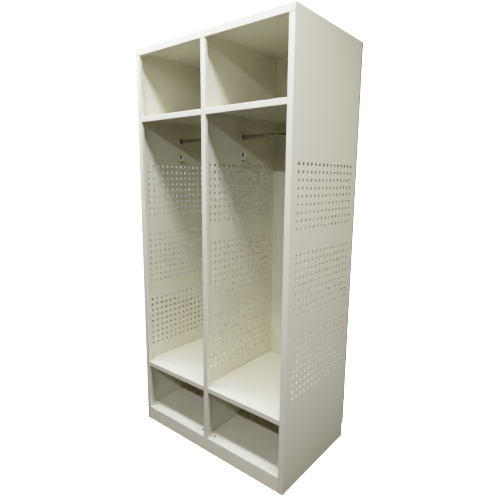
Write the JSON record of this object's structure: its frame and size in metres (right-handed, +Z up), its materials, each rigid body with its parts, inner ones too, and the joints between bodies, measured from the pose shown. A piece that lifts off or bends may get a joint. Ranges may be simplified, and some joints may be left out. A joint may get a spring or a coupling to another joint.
{
  "type": "slim work locker",
  "caption": "Open-front sheet-steel work locker: side-by-side bays, each with a top cubby, coat rod, hook, bench seat and shoe cubby, and perforated walls.",
  "frame": {"origin": "on the floor, under the centre of the locker's bounding box", "axes": "+Z up, +X to the right as seen from the front, the open front faces -Y and the back faces +Y"},
  "size_m": [0.875, 0.5316, 1.85],
  "materials": {
    "powder_coat": "satin",
    "rod_chrome": "polished",
    "fitting_steel": "satin"
  },
  "bodies": {
    "root": {"left_side_panel": "powder_coat", "centre_divider": "powder_coat", "right_side_panel": "powder_coat", "roof_panel": "powder_coat", "back_panel": "powder_coat", "top_shelf_left": "powder_coat", "top_shelf_right": "powder_coat", "bench_seat_left": "powder_coat", "bench_seat_right": "powder_coat", "bench_stiffener_left": "powder_coat", "bench_stiffener_right": "powder_coat", "base_floor_left": "powder_coat", "base_floor_right": "powder_coat", "front_plinth": "powder_coat", "coat_rod_left": "rod_chrome", "coat_rod_right": "rod_chrome", "rod_socket_left_bay_left": "fitting_steel", "rod_socket_left_bay_right": "fitting_steel", "rod_socket_right_bay_left": "fitting_steel", "rod_socket_right_bay_right": "fitting_steel", "coat_hook_left": "fitting_steel", "coat_hook_right": "fitting_steel", "coat_hook_left_rivet_upper": "fitting_steel", "coat_hook_left_rivet_lower": "fitting_steel", "coat_hook_right_rivet_upper": "fitting_steel", "coat_hook_right_rivet_lower": "fitting_steel"}
  },
  "joints": []
}
